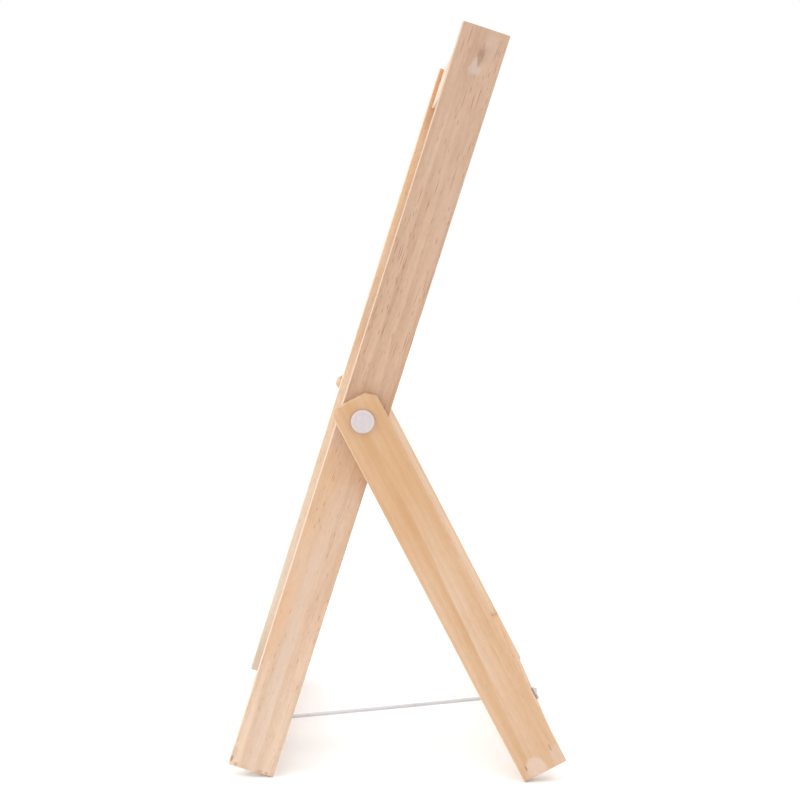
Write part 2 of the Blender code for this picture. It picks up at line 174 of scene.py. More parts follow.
def cord_route():
    """From the front knot, through the bottom rail, across to the rear rail and its knot."""
    front = PLANK_THICK / 2
    near_front = IN_FRONT @ Vector((CORD_X, front, BOTTOM_RAIL_MID + CORD_SWAY))
    near_rear = IN_REAR @ Vector((CORD_X, REAR_RAIL_FRONT, REAR_RAIL_MID + CORD_SWAY))
    span = near_rear - near_front
    sag = Vector((0.0, 0.0, -CORD_SAG))
    return [
        IN_FRONT @ Vector((CORD_X, -front, BOTTOM_RAIL_MID - CORD_SWAY)),
        IN_FRONT @ Vector((CORD_X, 0.0, BOTTOM_RAIL_MID)),
        near_front,
        near_front + span * 0.05 + sag * 0.4,
        near_front + span * 0.25 + sag * 0.75,
        near_front + span * 0.50 + sag,
        near_front + span * 0.75 + sag * 0.75,
        near_front + span * 0.95 + sag * 0.4,
        near_rear,
        IN_REAR @ Vector((CORD_X, REAR_MIDDLE_Y, REAR_RAIL_MID)),
        IN_REAR @ Vector((CORD_X, REAR_RAIL_BACK, REAR_RAIL_MID - CORD_SWAY)),
    ]


def sweep(points, ring):
    """Rings of vertices along a line, turned as little as possible from one to the next.

    ring(i, travelled) gives the (angle, radius) pairs of one ring.
    """
    verts = []
    ahead = (points[1] - points[0]).normalized()
    side = ahead.orthogonal().normalized()
    travelled = 0.0
    for i, point in enumerate(points):
        if i:
            travelled += (point - points[i - 1]).length
        before = points[max(i - 1, 0)]
        after = points[min(i + 1, len(points) - 1)]
        turned = (after - before).normalized()
        side = ahead.rotation_difference(turned) @ side
        ahead = turned
        other = ahead.cross(side)
        for angle, radius in ring(i, travelled):
            verts.append(point + radius * (math.cos(angle) * side + math.sin(angle) * other))
    return verts


def tube_faces(rings, sides):
    """Faces that join the rings of a sweep and close its two ends."""
    faces = []
    for i in range(rings - 1):
        for j in range(sides):
            k = (j + 1) % sides
            faces.append((i * sides + j, i * sides + k, (i + 1) * sides + k, (i + 1) * sides + j))
    faces.append(tuple(range(sides))[::-1])
    faces.append(tuple((rings - 1) * sides + j for j in range(sides)))
    return faces


def braid_radius(angle, travelled, radius):
    """Two sets of strands that wind in opposite directions and pass over each other in turn."""
    turn = 2 * math.pi * travelled / BRAID_PITCH
    right = abs(math.cos((angle + turn) * BRAID_STRANDS / 4))
    left = abs(math.cos((angle - turn) * BRAID_STRANDS / 4))
    return radius * (1.0 - BRAID_RELIEF + BRAID_RELIEF * max(right, left) ** 0.8)


def braided(name, points, radius, sides=28, taper=0):
    """A braided tube with closed ends; the last rings narrow where the cord is melted off."""
    full = len(points) - 1 - taper

    def ring(i, travelled):
        narrow = 1.0
        if taper and i > full:
            share = (i - full) / taper
            narrow = math.sqrt(max(1.0 - share * share, 0.02))
        angles = [2 * math.pi * j / sides for j in range(sides)]
        return [(angle, narrow * braid_radius(angle, travelled, radius)) for angle in angles]

    return mesh_object(name, sweep(points, ring), tube_faces(len(points), sides), crease=70)


def stopper_knot(name, place, outward):
    """A knot pulled tight against a rail: the cord coils outwards and its end hangs down the rail.

    place is where the cord leaves the rail, and outward points away from the rail.
    """
    side = outward.cross(Vector((0.0, 0.0, -1.0))).normalized()
    low = side.cross(outward).normalized()
    coil_drop = 0.0024
    inner_coil, coil_growth = 0.0022, 0.0026
    first_depth, settling = 0.0062, 0.0032

    def spot(across, down, depth):
        return place + side * across + low * down + outward * depth

    route = [spot(0.0, 0.0, -0.001), spot(0.0, 0.0, 0.0030)]
    for i in range(KNOT_STEPS + 1):
        share = i / KNOT_STEPS
        angle = (2 * KNOT_TURNS * share - 0.5) * math.pi
        coil = inner_coil + coil_growth * min(2.0 * share, 1.0)
        depth = first_depth - settling * min(1.8 * share, 1.0)
        route.append(spot(coil * math.cos(angle), coil_drop + coil * math.sin(angle), depth))
    route += [spot(0.0052, 0.0085, 0.0029), spot(0.0045, 0.0130, 0.0028), spot(0.0050, 0.0195, 0.0029)]
    return braided(name, smooth_curve(route, KNOT_RINGS), KNOT_CORD_RADIUS, sides=20, taper=7)


def add_cord():
    """The cord and its two knots, which are returned for their material."""
    route = cord_route()
    cord = braided("cord_braid", smooth_curve(route, CORD_RINGS), CORD_RADIUS)
    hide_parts("cord")
    front_out = (IN_FRONT.to_3x3() @ Vector((0.0, -1.0, 0.0))).normalized()
    rear_out = (IN_REAR.to_3x3() @ Vector((0.0, 1.0, 0.0))).normalized()
    front = stopper_knot("front_stopper_knot", route[0], front_out)
    rear = stopper_knot("rear_stopper_knot", route[-1], rear_out)
    for knot, node, body in ((front, "front_knot", "front_frame"), (rear, "rear_knot", "rear_frame")):
        stand_for(knot, node, body)
    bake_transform(cord)
    return [cord, front, rear]


# Planks

EDGE_ROUND = 0.0020
ROUND_STEPS = 4
FLAT_STEP = 0.012
END_CHAMFER = 0.0005
PLANING_DEPTH = 0.00012
EDGE_WEAR_DEPTH = 0.00016
EDGE_REACH = 0.0045
# How fast the noise for each runs across and along the grain, per metre
PLANING_RATE = (18, 9)
EDGE_WEAR_RATE = (40, 60)


def section(half_a, half_b, shrink=0.0):
    """A rounded rectangle's outline, with points along its flats too."""
    radius = EDGE_ROUND
    outline = []
    for sign_a, sign_b, start in ((1, 1, 0), (-1, 1, 90), (-1, -1, 180), (1, -1, 270)):
        for step in range(ROUND_STEPS + 1):
            angle = math.radians(start + 90 * step / ROUND_STEPS)
            outline.append((sign_a * (half_a - radius) + (radius - shrink) * math.cos(angle),
                            sign_b * (half_b - radius) + (radius - shrink) * math.sin(angle)))
    filled = []
    for (a0, b0), (a1, b1) in zip(outline, outline[1:] + outline[:1]):
        pieces = max(1, round(math.hypot(a1 - a0, b1 - b0) / FLAT_STEP))
        filled += [(a0 + (a1 - a0) * i / pieces, b0 + (b1 - b0) * i / pieces) for i in range(pieces)]
    return filled


def worn(half_a, half_b, a, b, along, dents, seed):
    """How far a point of the plank's skin is pressed in: slow planing waves, wear and dents on the edges.

    Each dent is (place along the plank, side across a, side across b, depth, reach).
    """
    across, lengthwise = PLANING_RATE
    waves = noise.noise(Vector((a * across + seed, b * across, along * lengthwise)))
    depth = PLANING_DEPTH * (0.5 + 0.5 * waves)
    if max(half_a - abs(a), half_b - abs(b)) < EDGE_REACH:
        across, lengthwise = EDGE_WEAR_RATE
        wear = noise.noise(Vector((seed * 3 + a * across, b * across, along * lengthwise)))
        depth += EDGE_WEAR_DEPTH * max(wear, 0.0)
        for where, sign_a, sign_b, deep, reach in dents:
            if sign_a * a > 0 and sign_b * b > 0:
                depth += deep * math.exp(-((along - where) / reach) ** 2)
    return depth


def plank(name, low, high, grain, place, seed, dents=(), step=0.010):
    """A planed plank between two corners in its frame, with eased long edges and slight wear.

    grain is the frame's axis along which the plank runs, and step is the spacing of its rings.
    """
    axes = {"X": (1, 2, 0), "Z": (0, 1, 2)}[grain]
    middle = [(start + end) / 2 for start, end in zip(low, high)]
    half_a, half_b, reach = ((high[i] - low[i]) / 2 for i in axes)
    rings = max(2, round(2 * reach / step))
    stations = [(-reach, END_CHAMFER), (-reach + END_CHAMFER, 0.0)]
    stations += [(-reach + 2 * reach * i / rings, 0.0) for i in range(1, rings)]
    stations += [(reach - END_CHAMFER, 0.0), (reach, END_CHAMFER)]
    full = section(half_a, half_b)
    verts = []
    for along, shrink in stations:
        for (a, b), (full_a, full_b) in zip(section(half_a, half_b, shrink), full):
            press = worn(half_a, half_b, full_a, full_b, along, dents, seed)
            inward = Vector((-full_a / half_a if abs(full_a) > half_a - EDGE_ROUND else 0.0,
                             -full_b / half_b if abs(full_b) > half_b - EDGE_ROUND else 0.0))
            if inward.length > 0:
                inward.normalize()
            local = [0.0, 0.0, 0.0]
            local[axes[0]] = middle[axes[0]] + a + inward.x * press
            local[axes[1]] = middle[axes[1]] + b + inward.y * press
            local[axes[2]] = middle[axes[2]] + along
            verts.append(place @ Vector(local))
    made = mesh_object(name, verts, tube_faces(len(stations), len(full)))
    face_outwards(made)
    return made


def face_outwards(obj):
    """Turn every face's normal outwards."""
    form = bmesh.new()
    form.from_mesh(obj.data)
    bmesh.ops.recalc_face_normals(form, faces=form.faces)
    form.to_mesh(obj.data)
    form.free()


def clip(obj, point, normal, place):
    """Saw a corner off along a plane given in the plank's frame."""
    form = bmesh.new()
    form.from_mesh(obj.data)
    done = bmesh.ops.bisect_plane(form, geom=form.verts[:] + form.edges[:] + form.faces[:],
                                  plane_co=place @ Vector(point),
                                  plane_no=place.to_3x3() @ Vector(normal),
                                  dist=0.00001, clear_outer=True)
    rim = [item for item in done["geom_cut"] if isinstance(item, bmesh.types.BMEdge)]
    bmesh.ops.contextual_create(form, geom=rim)
    bmesh.ops.recalc_face_normals(form, faces=form.faces)
    form.to_mesh(obj.data)
    form.free()


def cutter(shapes, place):
    """One mesh of rods and boxes to take out of a plank.

    Each shape is (kind, start, end, radius). A rod runs from start to end, and a box lies between them.
    """
    form = bmesh.new()
    for kind, start, end, radius in shapes:
        start, end = Vector(start), Vector(end)
        if kind == "rod":
            along = end - start
            turn = along.to_track_quat("Z", "Y").to_matrix().to_4x4()
            spot = Matrix.Translation((start + end) / 2) @ turn
            bmesh.ops.create_cone(form, cap_ends=True, segments=32, radius1=radius, radius2=radius,
                                  depth=along.length, matrix=place @ spot)
        else:
            spot = Matrix.Translation((start + end) / 2) @ Matrix.Diagonal((*(end - start), 1.0))
            bmesh.ops.create_cube(form, size=1.0, matrix=place @ spot)
    bmesh.ops.recalc_face_normals(form, faces=form.faces)
    mesh = bpy.data.meshes.new("cutter")
    form.to_mesh(mesh)
    form.free()
    return link(bpy.data.objects.new("cutter", mesh))


def carve(obj, shapes, place):
    """Bore and groove a plank, and keep the result as its mesh."""
    tool = cutter(shapes, place)
    trim = obj.modifiers.new("holes", "BOOLEAN")
    trim.operation = "DIFFERENCE"
    trim.object = tool
    bpy.context.view_layer.update()
    result = bpy.data.meshes.new_from_object(obj.evaluated_get(bpy.context.evaluated_depsgraph_get()))
    obj.modifiers.clear()
    obj.data = result
    bpy.data.objects.remove(tool)
    smooth_but_creased(obj.data, PLANK_CREASE)


DOWEL_HOLE = 0.004 + GAP
DOWEL_INTO_RAIL = 0.018
DOWEL_INTO_UPRIGHT = 0.012
PIVOT_BORE = 0.0043
CORD_HOLE = 0.005
# How far a cutter runs past the plank it opens
OVERRUN = 0.01
RAIL_HALF = POST_INNER - GAP
REAR_RAIL_HALF = LEG_INNER - GAP
TOP_RAIL_FRONT = 0.008 - HALF_DEPTH
TRAY_FRONT = 0.016 - HALF_DEPTH
TRAY_BACK = TRAY_FRONT + 0.008
TRAY_TOP = 0.100
TRAY_LOW = TRAY_TOP - PLANK_THICK
TRAY_LIP_HEIGHT = 0.030
BOARD_FRONT = 0.045 - HALF_DEPTH
BOARD_THICK = 0.006
BOARD_TOP = 0.590
BOARD_PLAY = 0.0006
GROOVE = 0.006
TOP_SPOTS = [(TOP_RAIL_FRONT + PLANK_THICK / 2, POST_TOP - inset) for inset in (0.020, 0.055)]
BOTTOM_SPOTS = [(0.0, BOTTOM_RAIL_MID + rise) for rise in (-0.020, 0.020)]
TRAY_SPOTS = [(y, TRAY_TOP - PLANK_THICK / 2) for y in (0.0, 0.024)]
REAR_SPOTS = [(REAR_MIDDLE_Y, REAR_RAIL_MID + rise) for rise in (-0.020, 0.020)]
# Each leg's clipped top corners: side across the leg, and the cut's size across and along it
LEG_CORNERS = ((-1, 0.0095, 0.0080), (1, 0.0140, 0.0120))


def dowel_holes(spots, joint, sides):
    """Blind holes along X, on both sides of the joints at X = side * joint."""
    return [("rod", (side * (joint - DOWEL_INTO_RAIL), y, z), (side * (joint + DOWEL_INTO_UPRIGHT), y, z),
             DOWEL_HOLE) for side in sides for y, z in spots]


def pivot_bore(side, inner, outer):
    """A bore for the pivot's bolt through an upright between X = side * inner and side * outer."""
    return ("rod", (side * (inner - OVERRUN), 0.0, 0.0), (side * (outer + OVERRUN), 0.0, 0.0), PIVOT_BORE)


def cord_bore(front, back, height):
    """A bore for the cord through a rail."""
    return ("rod", (CORD_X, front - OVERRUN, height), (CORD_X, back + OVERRUN, height), CORD_HOLE)


def board_groove(side):
    """The groove in a post that holds the board's edge."""
    near, far = sorted((side * (POST_INNER - OVERRUN), side * (POST_INNER + GROOVE)))
    return ("box", (near, BOARD_FRONT - GAP, TRAY_TOP + GAP),
            (far, BOARD_FRONT + BOARD_THICK + GAP, BOARD_TOP + GAP), 0.0)


def add_uprights():
    """Posts and legs, each with its bore, its blind dowel holes and its own small dents."""
    for name, side in SIDES:
        inner, outer = sorted((side * POST_INNER, side * POST_OUTER))
        dents = ((-0.53, side, -1, 0.0007, 0.004), (0.21, side, -1, 0.0005, 0.006),
                 (0.46, side, 1, 0.0006, 0.003), (-0.2, -side, 1, 0.0006, 0.005))
        post = plank("post_" + name + "_pine", (inner, -HALF_DEPTH, -POST_BELOW_PIVOT),
                     (outer, HALF_DEPTH, POST_TOP), "Z", IN_FRONT, 3.0 + side, dents)
        carve(post, [pivot_bore(side, POST_INNER, POST_OUTER),
                     *dowel_holes(TOP_SPOTS + BOTTOM_SPOTS + TRAY_SPOTS, RAIL_HALF, (side,)),
                     board_groove(side)], IN_FRONT)
        stand_for(post, "post_" + name, "front_frame")

        inner, outer = sorted((side * LEG_INNER, side * LEG_OUTER))
        dents = ((-0.29, side, 1, 0.0007, 0.003), (-0.07, side, -1, 0.0004, 0.007),
                 (0.16, -side, 1, 0.0005, 0.004))
        leg = plank("leg_" + name + "_pine", (inner, -HALF_DEPTH, -LEG_BELOW_PIVOT),
                    (outer, HALF_DEPTH, LEG_ABOVE_PIVOT), "Z", IN_REAR, 8.0 + side, dents)
        carve(leg, [pivot_bore(side, LEG_INNER, LEG_OUTER),
                    *dowel_holes(REAR_SPOTS, REAR_RAIL_HALF, (side,))], IN_REAR)
        for sign, across, down in LEG_CORNERS:
            clip(leg, (side * LEG_INNER, sign * (HALF_DEPTH - across), LEG_ABOVE_PIVOT),
                 (0.0, sign * down, across), IN_REAR)
        stand_for(leg, "leg_" + name, "rear_frame")


def add_crossing_planks():
    """Rails and tray, between the posts or the legs.

    Each front plank is (node, low corner, high corner, dowels' spots, other holes, seed).
    """
    dents = ((0.08, 1, 1, 0.0005, 0.005), (-0.11, -1, 1, 0.0004, 0.004))
    front_planks = (
        ("top_rail", (TOP_RAIL_FRONT, POST_TOP - PLANK_DEPTH), (TOP_RAIL_FRONT + PLANK_THICK, POST_TOP),
         TOP_SPOTS, [], 21.0),
        ("front_bottom_rail", (-PLANK_THICK / 2, -POST_BELOW_PIVOT),
         (PLANK_THICK / 2, PLANK_DEPTH - POST_BELOW_PIVOT), BOTTOM_SPOTS,
         [cord_bore(-PLANK_THICK / 2, PLANK_THICK / 2, BOTTOM_RAIL_MID)], 22.0),
        ("tray_base", (TRAY_BACK + GAP, TRAY_LOW), (HALF_DEPTH, TRAY_TOP), TRAY_SPOTS, [], 23.0),
        ("tray_lip", (TRAY_FRONT, TRAY_LOW), (TRAY_BACK, TRAY_LOW + TRAY_LIP_HEIGHT), [], [], 24.0),
    )
    for name, low, high, spots, bores, seed in front_planks:
        made = plank(name + "_pine", (-RAIL_HALF, *low), (RAIL_HALF, *high), "X", IN_FRONT, seed, dents)
        holes = [*dowel_holes(spots, RAIL_HALF, (-1, 1)), *bores]
        if holes:
            carve(made, holes, IN_FRONT)
        stand_for(made, name, "front_frame")

    rear = plank("rear_rail_pine", (-REAR_RAIL_HALF, REAR_RAIL_FRONT, REAR_RAIL_MID - HALF_DEPTH),
                 (REAR_RAIL_HALF, REAR_RAIL_BACK, REAR_RAIL_MID + HALF_DEPTH), "X", IN_REAR, 25.0, dents)
    carve(rear, [*dowel_holes(REAR_SPOTS, REAR_RAIL_HALF, (-1, 1)),
                 cord_bore(REAR_RAIL_FRONT, REAR_RAIL_BACK, REAR_RAIL_MID)], IN_REAR)
    stand_for(rear, "rear_rail", "rear_frame")


def add_board():
    """The panel in the posts' grooves, with its edges eased."""
    half = POST_INNER + GROOVE - BOARD_PLAY
    panel = plank("drawing_board_panel", (-half, BOARD_FRONT, TRAY_TOP + BOARD_PLAY),
                  (half, BOARD_FRONT + BOARD_THICK, BOARD_TOP - GAP), "Z", IN_FRONT, 31.0, step=0.02)
    stand_for(panel, "drawing_board", "front_frame")


def turned(name, profile, start, side, sides=96):
    """A piece turned about the pivots' axis, from (radius, distance out) pairs.

    The distances are measured outwards from X = side * start.
    """
    form = bmesh.new()
    rings = []
    for radius, out in profile:
        x = side * (start + out)
        if radius:
            rings.append([form.verts.new((x, PIVOT.y + radius * math.cos(2 * math.pi * i / sides),
                                          PIVOT.z + radius * math.sin(2 * math.pi * i / sides)))
                          for i in range(sides)])
        else:
            rings.append([form.verts.new((x, PIVOT.y, PIVOT.z))] * sides)
    for near, far in zip(rings, rings[1:] + rings[:1]):
        for i in range(sides):
            j = (i + 1) % sides
            corners = list(dict.fromkeys((near[i], near[j], far[j], far[i])))
            if len(corners) > 2:
                form.faces.new(corners)
    bmesh.ops.recalc_face_normals(form, faces=form.faces)
    mesh = bpy.data.meshes.new(name)
    form.to_mesh(mesh)
    form.free()
    smooth_but_creased(mesh, 40)
    return link(bpy.data.objects.new(name, mesh))


def rounded(middle, radius, steps):
    """A quarter round from straight out to the side, to straight up."""
    for i in range(steps + 1):
        angle = math.pi / 2 * i / steps
        yield middle[0] + radius * math.cos(angle), middle[1] + radius * math.sin(angle)


def add_caps():
    """The pivots' outer caps, with a rolled rim, a faint ring and a dimple from moulding.

    The profile runs along the underside, round the rim and over the face, then back through the
    hollow for the bolt.
    """
    radius, height, rim = 0.018, 0.0052, 0.0022
    hollow, depth = 0.0096, 0.0036
    profile = [(hollow, 0.0), (radius - 0.0002, 0.0), (radius, 0.0003)]
    profile += rounded((radius - rim, height - rim), rim, 10)
    profile += [(0.0136, height), (0.0131, height - 0.0001), (0.0126, height - 0.0005),
                (0.0121, height - 0.0006), (0.0112, height - 0.0004), (0.0050, height - 0.0002),
                (0.0030, height - 0.0003), (0.0016, height - 0.0007), (0.0, height - 0.0008),
                (0.0, depth), (hollow, depth)]
    for name, side in SIDES:
        cap = turned("outer_cap_" + name + "_moulded", profile, LEG_OUTER + GAP, side)
        stand_for(cap, "outer_cap_" + name, "rear_frame")


# Materials

class Graph:
    """Shorthand for wiring one material's nodes."""

    def __init__(self, name):
        self.material = bpy.data.materials.new(name)
        self.material.use_nodes = True
        self.tree = self.material.node_tree
        self.shader = self.tree.nodes["Principled BSDF"]

    def node(self, kind, **settings):
        made = self.tree.nodes.new(kind)
        for key, value in settings.items():
            setattr(made, key, value)
        return made

    def at(self, kind="Object"):
        return self.node("ShaderNodeTexCoord").outputs[kind]

    def feed(self, socket, value):
        if isinstance(value, bpy.types.NodeSocket):
            self.tree.links.new(value, socket)
        else:
            socket.default_value = value

    def math(self, operation, a, b=0.0, c=0.0):
        made = self.node("ShaderNodeMath", operation=operation)
        for socket, value in zip(made.inputs, (a, b, c)):
            self.feed(socket, value)
        return made.outputs[0]

    def vector(self, operation, a, b=(0.0, 0.0, 0.0)):
        made = self.node("ShaderNodeVectorMath", operation=operation)
        self.feed(made.inputs[0], a)
        self.feed(made.inputs[1], b)
        return made.outputs["Value" if operation == "LENGTH" else "Vector"]

    def split(self, vector):
        made = self.node("ShaderNodeSeparateXYZ")
        self.feed(made.inputs[0], vector)
        return made.outputs

    def join(self, x, y, z):
        made = self.node("ShaderNodeCombineXYZ")
        for socket, value in zip(made.inputs, (x, y, z)):
            self.feed(socket, value)
        return made.outputs[0]

    def noise(self, vector, scale, detail=2.0, roughness=0.5, distortion=0.0):
        made = self.node("ShaderNodeTexNoise")
        self.feed(made.inputs["Vector"], vector)
        made.inputs["Scale"].default_value = scale
        made.inputs["Detail"].default_value = detail
        made.inputs["Roughness"].default_value = roughness
        made.inputs["Distortion"].default_value = distortion
        return made.outputs["Fac"]

    def remap(self, value, low, high, to_low=0.0, to_high=1.0, smooth=True):
        made = self.node("ShaderNodeMapRange", interpolation_type="SMOOTHSTEP" if smooth else "LINEAR")
        for key, number in (("Value", value), ("From Min", low), ("From Max", high),
                            ("To Min", to_low), ("To Max", to_high)):
            self.feed(made.inputs[key], number)
        return made.outputs[0]

    def mix(self, share, a, b, mode="MIX"):
        made = self.node("ShaderNodeMix", data_type="RGBA", blend_type=mode)
        self.feed(made.inputs["Factor"], share)
        self.feed(made.inputs["A"], a)
        self.feed(made.inputs["B"], b)
        return made.outputs["Result"]

    def bump(self, height, distance, strength):
        made = self.node("ShaderNodeBump")
        self.feed(made.inputs["Height"], height)
        made.inputs["Distance"].default_value = distance
        made.inputs["Strength"].default_value = strength
        return made.outputs[0]

    def finish(self, colour, roughness, normal=None):
        self.feed(self.shader.inputs["Base Color"], colour)
        self.feed(self.shader.inputs["Roughness"], roughness)
        if normal is not None:
            self.feed(self.shader.inputs["Normal"], normal)
        return self.material


def srgb(red, green, blue):
    """A colour given in 8-bit sRGB, as the shader wants it."""
    def linear(value):
        value /= 255
        return value / 12.92 if value <= 0.04045 else ((value + 0.055) / 1.055) ** 2.4
    return (linear(red), linear(green), linear(blue), 1.0)


def plank_space(graph, place, centre, grain):
    """A plank's own coordinates (thickness, width, along the grain), measured from its middle."""
    back = place.inverted()
    turn = graph.node("ShaderNodeMapping", vector_type="POINT")
    graph.feed(turn.inputs["Vector"], graph.at())
    turn.inputs["Location"].default_value = back.translation - Vector(centre)
    turn.inputs["Rotation"].default_value = back.to_euler()
    if grain == "Z":
        return turn.outputs[0]
    parts = graph.split(turn.outputs[0])
    return graph.join(parts[1], parts[2], parts[0])


PLANK_HALF = (PLANK_THICK / 2, HALF_DEPTH)
# Distances from an edge between which the painted highlight on its eased corner comes in
EASED_FROM = 0.0024
EASED_TO = 0.0006
# The late wood's share of the colour, where nothing adds to it
MIDDLE_SHARE = 0.34
# Roughness of early and of late wood
PINE_ROUGH = (0.62, 0.50)
PINE_SPECULAR = 0.30
PINE_RELIEF = 0.00012


def pine(name, place, centre, grain, tones, heart, spacing, seed, half=PLANK_HALF, figure=0.5,
         wander=0.030, streaks=0.6, bounce_paling=(), marks_and_shade=()):
    """Planed pine: growth rings about a heart beside the plank, fibres, resin streaks and saw marks.

    tones are early wood, late wood and the resin. heart is the rings' centre in the plank's own
    thickness and width, spacing their distance, wander how far they stray, and figure how strongly
    they show. streaks is the resin's strength. bounce_paling multiplies the colour towards the
    plank's low end: painted light, paler towards the floor where light bounces up from it.
    """
    pale, dark, resin = tones
    graph = Graph(name)
    own = plank_space(graph, place, centre, grain)
    thick, wide, along = graph.split(own)[:]
    shifted = graph.vector("ADD", own, (seed * 3.1, seed * 1.7, seed * 5.3))

    def spread(scale, detail=2.0, roughness=0.5):
        """Noise about zero, with its own scale in each of the plank's directions."""
        stretched = graph.vector("MULTIPLY", shifted, scale)
        return graph.math("SUBTRACT", graph.noise(stretched, 1.0, detail, roughness), 0.5)

    bend = spread((5.0, 5.0, 1.5))
    ripple = spread((30.0, 30.0, 5.0))
    reach = graph.vector("LENGTH", graph.join(graph.math("SUBTRACT", thick, heart[0]),
                                              graph.math("SUBTRACT", wide, heart[1]), 0.0))
    reach = graph.math("MULTIPLY_ADD", bend, wander, reach)
    reach = graph.math("MULTIPLY_ADD", ripple, 0.0022, reach)
    ring = graph.math("FRACT", graph.math("DIVIDE", reach, spacing))
    late = graph.math("MULTIPLY", graph.remap(ring, 0.10, 0.86), graph.remap(ring, 1.0, 0.88))
    strength = graph.remap(spread((7.0, 7.0, 2.5), detail=1.0), -0.18, 0.20, 0.15, 1.0)
    late = graph.math("MULTIPLY", late, strength)

    fibre = spread((600.0, 600.0, 60.0), detail=4.0, roughness=0.7)
    strands = spread((190.0, 190.0, 7.0), detail=3.0)
    bands = spread((34.0, 34.0, 1.3))
    cloud = spread((22.0, 22.0, 8.0), detail=3.0)
    saw = spread((9.0, 9.0, 230.0), detail=1.0)
    share = graph.math("MULTIPLY_ADD", late, figure, MIDDLE_SHARE - 0.3 * figure)
    for part, weight in ((strands, 0.55), (bands, 0.60), (cloud, 0.60), (fibre, 1.05), (saw, 0.12)):
        share = graph.math("MULTIPLY_ADD", part, weight, share)
    share = graph.math("MAXIMUM", graph.math("MINIMUM", share, 1.0), 0.0)
    colour = graph.mix(share, pale, dark)

    skew = graph.math("MULTIPLY_ADD", thick, 0.37, wide)
    skew = graph.math("MULTIPLY_ADD", ripple, 0.006, skew)
    crowd = graph.remap(spread((26.0, 26.0, 5.0), detail=1.0), -0.12, 0.12, 0.68, 0.10)

    def dashes(scale, least, extra, shift):
        """Slender flecks along the grain, as many of them as the crowding allows.

        scale is how many fit into a metre across and along, and least and extra set their sizes.
        """
        cells = graph.node("ShaderNodeTexVoronoi", voronoi_dimensions="2D", feature="F1")
        across = graph.math("MULTIPLY_ADD", skew, scale[0], shift)
        lengthwise = graph.math("MULTIPLY_ADD", along, scale[1], seed * 7.7)
        graph.feed(cells.inputs["Vector"], graph.join(across, lengthwise, 0.0))
        cells.inputs["Scale"].default_value = 1.0
        chosen = graph.split(cells.outputs["Color"])
        shown = graph.remap(graph.math("SUBTRACT", chosen[0], crowd), 0.0, 0.30)
        size = graph.math("MULTIPLY_ADD", chosen[1], extra, least)
        core = graph.remap(cells.outputs["Distance"], size, 0.03)
        return graph.math("MULTIPLY", shown, core)

    slender = graph.math("MULTIPLY", dashes((300.0, 8.5), 0.10, 0.12, 31.0),
                         graph.remap(along, -0.30, 0.20, 0.25, 1.0))
    short = graph.math("MULTIPLY", dashes((240.0, 26.0), 0.08, 0.13, 0.0), 0.8)
    streak = graph.math("MULTIPLY", graph.math("MAXIMUM", short, slender), streaks)
    colour = graph.mix(streak, colour, resin)

    facing = graph.split(graph.vector("ABSOLUTE", grain_normal(graph, place)))
    end = graph.remap(facing[2] if grain == "Z" else facing[0], 0.80, 0.95)
    end_tone = graph.mix(graph.math("MULTIPLY", late, 0.5), scaled(pale, 0.88), scaled(dark, 0.80))
    colour = graph.mix(end, colour, end_tone)

    # Painted highlight: the eased long edges on the plank's front, which face the key light, are made
    # paler
    at_side = graph.remap(graph.math("ABSOLUTE", thick), half[0] - EASED_FROM, half[0] - EASED_TO)
    at_front = graph.remap(wide, EASED_FROM - half[1], EASED_TO - half[1])
    eased = graph.math("MULTIPLY", at_side, at_front)
    colour = graph.mix(graph.math("MULTIPLY", eased, 0.6), colour, lighter(pale))

    # Painted light: the colour pales towards the plank's low end, where light bounced up from the floor
    # falls
    if bounce_paling:
        low = graph.remap(along, 0.40, -0.60, smooth=False)
        colour = graph.mix(low, colour, (*bounce_paling, 1.0), mode="MULTIPLY")
    # Marks on the faces, and on the right post also painted shade beside the leg
    for marking in marks_and_shade:
        colour = marking(graph, colour, thick, wide, along, shifted)

    rough = graph.remap(share, 0.0, 1.0, *PINE_ROUGH)
    relief = graph.math("MULTIPLY_ADD", fibre, 0.6, graph.math("MULTIPLY", saw, 0.4))
    normal = graph.bump(relief, PINE_RELIEF, 0.5)
    graph.shader.inputs["Specular IOR Level"].default_value = PINE_SPECULAR
    return graph.finish(colour, rough, normal)


# Distances from the plank's middle between which a patch fades in towards the face
FACE_BAND = (0.0075, 0.0086)
# How far a patch's rim strays, as a share of its half size
RAGGED = 0.35


def patch(middle, half, tone, strength, peak=0.0, soft=0.12, mode="MIX"):
    """A patch on the face towards +X, which narrows upwards where peak is above 0. It draws worn and
    filled places and changes of tone, and through tint also painted shade.

    middle and half are (width, along) in the plank's space. soft is how wide the rim is, as a share
    of the half size.
    """
    def paint(graph, colour, thick, wide, along, shifted):
        rough = graph.math("SUBTRACT", graph.noise(shifted, 260.0, detail=3.0), 0.5)
        up = graph.math("DIVIDE", graph.math("SUBTRACT", along, middle[1]), half[1])
        room = graph.math("MULTIPLY_ADD", up, -peak, 1.0)
        across = graph.math("DIVIDE", graph.math("SUBTRACT", wide, middle[0]), half[0])
        across = graph.math("DIVIDE", across, graph.math("MAXIMUM", room, 0.05))
        cubes = [graph.math("POWER", graph.math("ABSOLUTE", part), 3.0) for part in (across, up)]
        far = graph.math("POWER", graph.math("ADD", *cubes), 1 / 3)
        far = graph.math("MULTIPLY_ADD", rough, RAGGED, far)
        on_face = graph.remap(thick, *FACE_BAND)
        mask = graph.math("MULTIPLY", graph.remap(far, 1.0 + soft, 1.0 - soft), on_face)
        return graph.mix(graph.math("MULTIPLY", mask, strength), colour, tone, mode=mode)
    return paint


def tint(middle, half, factors, strength=1.0, soft=0.60):
    """A soft patch that multiplies the colour under it."""
    return patch(middle, half, (*factors, 1.0), strength, soft=soft, mode="MULTIPLY")


